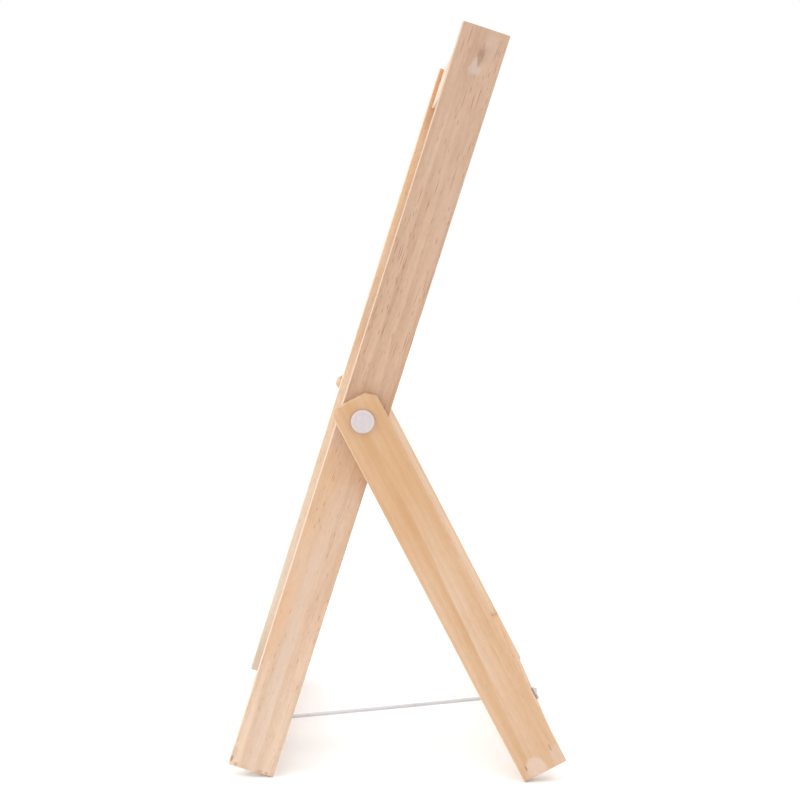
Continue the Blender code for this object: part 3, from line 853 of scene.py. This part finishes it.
def seam(level, turn, slope, edge_tint, low_tint, high_tint, reach):
    """A crisp line along the grain, straight above turn and slanting below it, tinted on both sides.

    The low side's tint changes to edge_tint towards the plank's edge, and the high side's fades out
    over reach, and at the plank's top and foot.
    """
    line_from, line_to = -0.0008, 0.0010
    edge_band = (-0.024, -0.004)
    waviness = 0.0020
    top_fade = (0.185, 0.095, 0.12, 1.0)
    foot_fade = (-0.110, -0.200, 1.0, 0.45)

    def paint(graph, colour, thick, wide, along, shifted):
        stretched = graph.vector("MULTIPLY", shifted, (60.0, 60.0, 7.0))
        ripple = graph.math("SUBTRACT", graph.noise(stretched, 1.0), 0.5)
        below_turn = graph.math("MAXIMUM", graph.math("SUBTRACT", turn, along), 0.0)
        line = graph.math("MULTIPLY_ADD", below_turn, -slope, level)
        off = graph.math("MULTIPLY_ADD", ripple, waviness, graph.math("SUBTRACT", wide, line))
        low = graph.mix(graph.remap(off, *edge_band), (*edge_tint, 1.0), (*low_tint, 1.0))
        colour = graph.mix(graph.remap(off, line_to, line_from), colour, low, mode="MULTIPLY")
        above = graph.remap(off, line_from, line_to)
        for fade in (graph.remap(off, reach, 0.35 * reach), graph.remap(along, *top_fade),
                     graph.remap(along, *foot_fade)):
            above = graph.math("MULTIPLY", above, fade)
        return graph.mix(above, colour, (*high_tint, 1.0), mode="MULTIPLY")
    return paint


def grain_normal(graph, place):
    """The surface's direction in the plank's own frame."""
    turn = graph.node("ShaderNodeMapping", vector_type="POINT")
    graph.feed(turn.inputs["Vector"], graph.at("Normal"))
    turn.inputs["Rotation"].default_value = place.inverted().to_euler()
    return turn.outputs[0]


def scaled(colour, share):
    """A colour made darker, with its alpha kept at 1."""
    return (colour[0] * share, colour[1] * share, colour[2] * share, 1.0)


def lighter(colour):
    """A colour brought nearly half way to a pale warm one, used for the painted highlight on the front
    edges.
    """
    goal = (0.95, 0.80, 0.62)
    return tuple(full + 0.55 * (value - full) for value, full in zip(colour, goal)) + (1.0,)


# Early wood, late wood and resin
PINK_TONES = (srgb(195, 166, 143), srgb(168, 133, 108), srgb(146, 82, 50))
RAIL_TONES = (srgb(214, 192, 174), srgb(190, 160, 136), srgb(150, 94, 62))
ORANGE_TONES = (srgb(229, 190, 155), srgb(206, 157, 114), srgb(140, 88, 54))
YELLOW_TONES = (srgb(206, 173, 142), srgb(189, 145, 105), srgb(154, 101, 64))
PALE_TONES = (srgb(224, 197, 171), srgb(206, 173, 143), srgb(167, 114, 81))
DOWEL_TONES = (srgb(214, 176, 138), srgb(190, 148, 108), srgb(150, 100, 66))

# Painted light: what the posts' colours are multiplied by towards their low ends, to pale them where
# light bounces up from the floor
RIGHT_BOUNCE_PALING = (1.27, 1.38, 1.44)
LEFT_BOUNCE_PALING = (0.90, 1.20, 1.57)


def plastic(name, tone):
    """Moulded plastic, faintly mottled."""
    graph = Graph(name)
    at = graph.at()
    mottle = graph.noise(at, 240.0, detail=3.0)
    colour = graph.mix(graph.remap(mottle, 0.3, 0.7), tone, scaled(tone, 0.94))
    normal = graph.bump(graph.noise(at, 2600.0), 0.00004, 0.5)
    return graph.finish(colour, graph.remap(mottle, 0.3, 0.7, 0.30, 0.40), normal)


def zinc(name):
    """Zinc plating, with its crystals."""
    graph = Graph(name)
    at = graph.at()
    crystals = graph.noise(at, 900.0)
    colour = graph.mix(crystals, srgb(186, 190, 196), srgb(214, 216, 218))
    normal = graph.bump(graph.noise(at, 4000.0), 0.00002, 0.6)
    graph.shader.inputs["Metallic"].default_value = 1.0
    return graph.finish(colour, graph.remap(crystals, 0.3, 0.7, 0.26, 0.42), normal)


def braid_material(name):
    """White synthetic fibre, a little dirty in places."""
    graph = Graph(name)
    at = graph.at()
    fluff = graph.noise(at, 3500.0, detail=3.0)
    dirt = graph.noise(at, 60.0)
    colour = graph.mix(graph.remap(fluff, 0.3, 0.7), srgb(212, 212, 214), srgb(188, 187, 191))
    colour = graph.mix(graph.remap(dirt, 0.55, 0.75, 0.0, 0.3), colour, srgb(172, 168, 166))
    normal = graph.bump(fluff, 0.0003, 0.6)
    graph.shader.inputs["Sheen Weight"].default_value = 0.3
    return graph.finish(colour, 0.85, normal)


def board_material(name):
    """White lacquer on the front and black chalkboard paint on the back."""
    graph = Graph(name)
    at = graph.at()
    facing = graph.split(grain_normal(graph, IN_FRONT))[1]
    back = graph.remap(facing, 0.3, 0.5)
    smears = graph.noise(graph.vector("MULTIPLY", at, (4.0, 4.0, 8.0)), 1.0, detail=4.0, distortion=0.4)
    white = graph.mix(graph.remap(smears, 0.30, 0.75), srgb(204, 205, 203), srgb(192, 194, 194))
    dust = graph.noise(graph.vector("MULTIPLY", at, (4.0, 6.0, 13.0)), 1.0, detail=5.0, distortion=0.5)
    black = graph.mix(graph.remap(dust, 0.35, 0.85), srgb(36, 38, 39), srgb(62, 64, 64))
    rim = graph.remap(graph.math("ABSOLUTE", facing), 0.7, 0.3)
    colour = graph.mix(back, white, black)
    colour = graph.mix(rim, colour, srgb(120, 88, 62))
    rough = graph.math("ADD", graph.math("MULTIPLY", back, 0.55), 0.22)
    normal = graph.bump(graph.noise(at, 1500.0), 0.00003, 0.5)
    return graph.finish(colour, rough, normal)


def dress(node, material):
    """Give its material to the piece that stands for a node, or to the node where it stays in sight."""
    made = [bpy.data.objects.get(node + ending) for ending in ("_pine", "_panel", "_moulded")]
    piece = next((obj for obj in made if obj), None) or frame["nodes"][node]
    piece.data.materials.clear()
    piece.data.materials.append(material)


def right_post_marks_and_shade(end):
    """Marks on the right post's outer face: the filled place near its top, painted shade beside the
    leg, and the wear at its foot.

    end is the distance from the plank's middle to its ends.
    """
    return (
        patch((0.0015, end - 0.057), (0.0080, 0.0135), srgb(194, 178, 168), 0.52, peak=0.45, soft=0.30),
        patch((0.014, end - 0.026), (0.0085, 0.0180), srgb(190, 166, 152), 0.45, peak=-0.40, soft=0.35),
        patch((0.006, end - 0.043), (0.0085, 0.0170), srgb(156, 118, 98), 0.22, peak=-0.80, soft=0.30),
        patch((0.004, end - 0.045), (0.0040, 0.0130), srgb(130, 90, 74), 0.42, peak=-0.60, soft=0.40),
        # Painted shade: a broad darker dip around and below the leg's crossing, and a warmer band just
        # below the leg's edge, where the leg shades the post and throws warm bounced light onto it
        tint((0.0, -0.110), (0.070, 0.300), (0.97, 0.90, 0.85)),
        tint((0.005, -0.095), (0.040, 0.030), (1.00, 0.96, 0.87)),
        tint((-0.020, -0.170), (0.018, 0.070), (1.00, 0.965, 0.90)),
        tint((0.013, -0.225), (0.010, 0.085), (1.03, 1.08, 1.12)),
        patch((-0.029, -0.350), (0.0110, 0.0700), srgb(206, 160, 118), 0.40, soft=0.60),
        patch((-0.003, -0.390), (0.0100, 0.2200), srgb(208, 188, 172), 0.40, soft=0.60),
        patch((-0.034, 0.022 - end), (0.0045, 0.0110), srgb(190, 165, 150), 0.5, soft=0.3),
        patch((-0.0345, 0.011 - end), (0.0018, 0.0050), srgb(130, 88, 62), 0.6, soft=0.4),
        patch((-0.026, 0.004 - end), (0.0030, 0.0030), srgb(182, 130, 94), 0.6, soft=0.5),
        patch((0.014, 0.003 - end), (0.0045, 0.0026), srgb(178, 132, 98), 0.5, soft=0.5),
        patch((0.025, 0.003 - end), (0.0025, 0.0022), srgb(158, 116, 88), 0.5, soft=0.4),
    )


def left_post_marks(end):
    """The left post's inner face is browner at its top."""
    return (
        tint((0.0, end - 0.020), (0.070, 0.085), (0.83, 0.71, 0.63), soft=0.70),
    )


def right_leg_marks(end):
    """The seam down the right leg's outer face, its darker top and the worn places at its foot."""
    return (
        seam(-0.0015, 0.057, 0.043, (1.03, 1.055, 1.11), (0.98, 0.955, 0.91), (1.055, 1.14, 1.27), 0.032),
        tint((-0.0070, end - 0.190), (0.0065, 0.0420), (0.93, 0.87, 0.80)),
        tint((-0.0120, end - 0.060), (0.0140, 0.0500), (0.93, 0.90, 0.86), strength=0.9, soft=0.7),
        patch((0.0, end - 0.110), (0.070, 0.150), srgb(194, 150, 104), 0.42, soft=0.5),
        patch((0.004, end - 0.075), (0.0030, 0.0260), srgb(210, 184, 158), 0.2, peak=-0.4, soft=0.5),
        patch((-0.010, 0.0150 - end), (0.0150, 0.0150), srgb(212, 190, 174), 0.65, peak=0.25, soft=0.2),
        patch((0.030, 0.0160 - end), (0.0100, 0.0170), srgb(206, 182, 166), 0.50, peak=0.10, soft=0.3),
        patch((0.024, 0.0320 - end), (0.0012, 0.0060), srgb(150, 118, 104), 0.6),
        patch((-0.0245, 0.0190 - end), (0.0010, 0.0040), srgb(120, 92, 84), 0.7),
    )


def dress_planks():
    """Each plank's own pine.

    Each row is (node, frame, middle, tones, seed), and an upright's has the rings' centre and their
    spacing before the seed, and more settings after it.
    """
    post_end = (POST_TOP + POST_BELOW_PIVOT) / 2
    leg_end = (LEG_ABOVE_PIVOT + LEG_BELOW_PIVOT) / 2
    post_middle = (0.0, POST_TOP - post_end)
    leg_middle = (0.0, LEG_ABOVE_PIVOT - leg_end)
    post_x = POST_OUTER - PLANK_THICK / 2
    leg_x = LEG_OUTER - PLANK_THICK / 2
    uprights = (
        ("post_right", IN_FRONT, (post_x, *post_middle), PINK_TONES, (0.03, 0.150), 0.024, 1.0,
         dict(figure=0.30, streaks=0.85, bounce_paling=RIGHT_BOUNCE_PALING, marks_and_shade=right_post_marks_and_shade(post_end))),
        ("post_left", IN_FRONT, (-post_x, *post_middle), ORANGE_TONES, (-0.04, -0.10), 0.020, 2.0,
         dict(figure=0.35, streaks=0.5, bounce_paling=LEFT_BOUNCE_PALING, marks_and_shade=left_post_marks(post_end))),
        ("leg_right", IN_REAR, (leg_x, *leg_middle), YELLOW_TONES, (-0.03, -0.190), 0.0125, 3.0,
         dict(figure=0.24, wander=0.022, streaks=0.12, marks_and_shade=right_leg_marks(leg_end))),
        ("leg_left", IN_REAR, (-leg_x, *leg_middle), PALE_TONES, (0.05, -0.02), 0.007, 4.0,
         dict(figure=0.6, streaks=0.2)),
    )
    for name, place, centre, tones, heart, spacing, seed, extra in uprights:
        dress(name, pine(name, place, centre, "Z", tones, heart, spacing, seed, **extra))
    lip_middle = ((TRAY_FRONT + TRAY_BACK) / 2, TRAY_LOW + TRAY_LIP_HEIGHT / 2)
    # The rear rail's grain is centred a little in front of the rail's own middle
    rear_grain_y = 0.0205
    crossing = (
        ("top_rail", IN_FRONT, (TOP_RAIL_FRONT + PLANK_THICK / 2, POST_TOP - HALF_DEPTH), RAIL_TONES,
         5.0),
        ("front_bottom_rail", IN_FRONT, (0.0, BOTTOM_RAIL_MID), PINK_TONES, 6.0),
        ("tray_base", IN_FRONT, (0.0, TRAY_TOP - PLANK_THICK / 2), PINK_TONES, 7.0),
        ("tray_lip", IN_FRONT, lip_middle, PINK_TONES, 8.0),
        ("rear_rail", IN_REAR, (rear_grain_y, REAR_RAIL_MID), YELLOW_TONES, 9.0),
    )
    for name, place, middle, tones, seed in crossing:
        dress(name, pine(name, place, (0.0, *middle), "X", tones, (0.05, 0.03), 0.008, seed, streaks=0.4))


def dress_hardware():
    """Caps, bolts, nuts, washers, dowels and the board."""
    cap = plastic("cap_plastic", srgb(198, 188, 190))
    steel = zinc("zinc_plate")
    beech = pine("beech_dowel", IN_FRONT, (0.0, 0.0, 0.0), "X", DOWEL_TONES, (0.0, 0.0), 0.004, 11.0,
                 half=(1.0, 1.0), streaks=0.0)
    for name in frame["nodes"]:
        if name.startswith(("outer_cap", "inner_cap", "spacer_washer")):
            dress(name, cap)
        elif name.startswith(("pivot_bolt", "pivot_nut", "inner_washer")):
            dress(name, steel)
        elif "dowel" in name:
            dress(name, beech)
    dress("drawing_board", board_material("board_paint"))


# Studio

def add_floor():
    """A plain pale floor, just below the easel's feet."""
    reach, level = 14.0, -0.0004
    corners = [(x * reach, y * reach, level) for x, y in ((-1, -1), (1, -1), (1, 1), (-1, 1))]
    floor = mesh_object("floor", corners, [(0, 1, 2, 3)])
    graph = Graph("floor_paint")
    at = graph.at()
    colour = graph.mix(graph.noise(at, 3.0), srgb(244, 244, 244), srgb(248, 248, 248))
    floor.data.materials.append(graph.finish(colour, 0.75))


def add_sun(name, towards, strength, spread):
    """A soft light from one direction, even over the whole floor."""
    light = bpy.data.lights.new(name, "SUN")
    light.energy = strength
    light.angle = math.radians(spread)
    lamp = link(bpy.data.objects.new(name, light))
    lamp.rotation_euler = Vector(towards).to_track_quat("-Z", "Y").to_euler()


def add_studio():
    """A white sky that is dimmer overhead, and three soft suns."""
    world = bpy.data.worlds.new("studio")
    bpy.context.scene.world = world
    world.use_nodes = True
    nodes = world.node_tree.nodes
    links = world.node_tree.links
    height = nodes.new("ShaderNodeSeparateXYZ")
    links.new(nodes.new("ShaderNodeTexCoord").outputs["Generated"], height.inputs[0])
    fade = nodes.new("ShaderNodeMapRange")
    fade.interpolation_type = "SMOOTHSTEP"
    fade.inputs["From Min"].default_value = math.sin(math.radians(20))
    fade.inputs["From Max"].default_value = math.sin(math.radians(52))
    fade.inputs["To Min"].default_value = 1.0
    fade.inputs["To Max"].default_value = 0.25
    links.new(height.outputs["Z"], fade.inputs["Value"])
    links.new(fade.outputs[0], nodes["Background"].inputs["Strength"])
    nodes["Background"].inputs["Color"].default_value = (1.0, 1.0, 1.0, 1.0)
    bpy.context.scene.view_settings.view_transform = "Standard"
    add_sun("key", (-0.12, 0.90, -0.50), 1.7, 50)
    add_sun("top", (0.0, 0.0, -1.0), 1.9, 80)
    add_sun("back", (-0.30, -0.75, -0.45), 0.8, 60)


add_camera()
add_floor()
add_studio()
cord_pieces = add_cord()
braid = braid_material("cord_fibre")
for piece in cord_pieces:
    piece.data.materials.append(braid)
add_uprights()
add_crossing_planks()
add_board()
add_caps()
dress_planks()
dress_hardware()
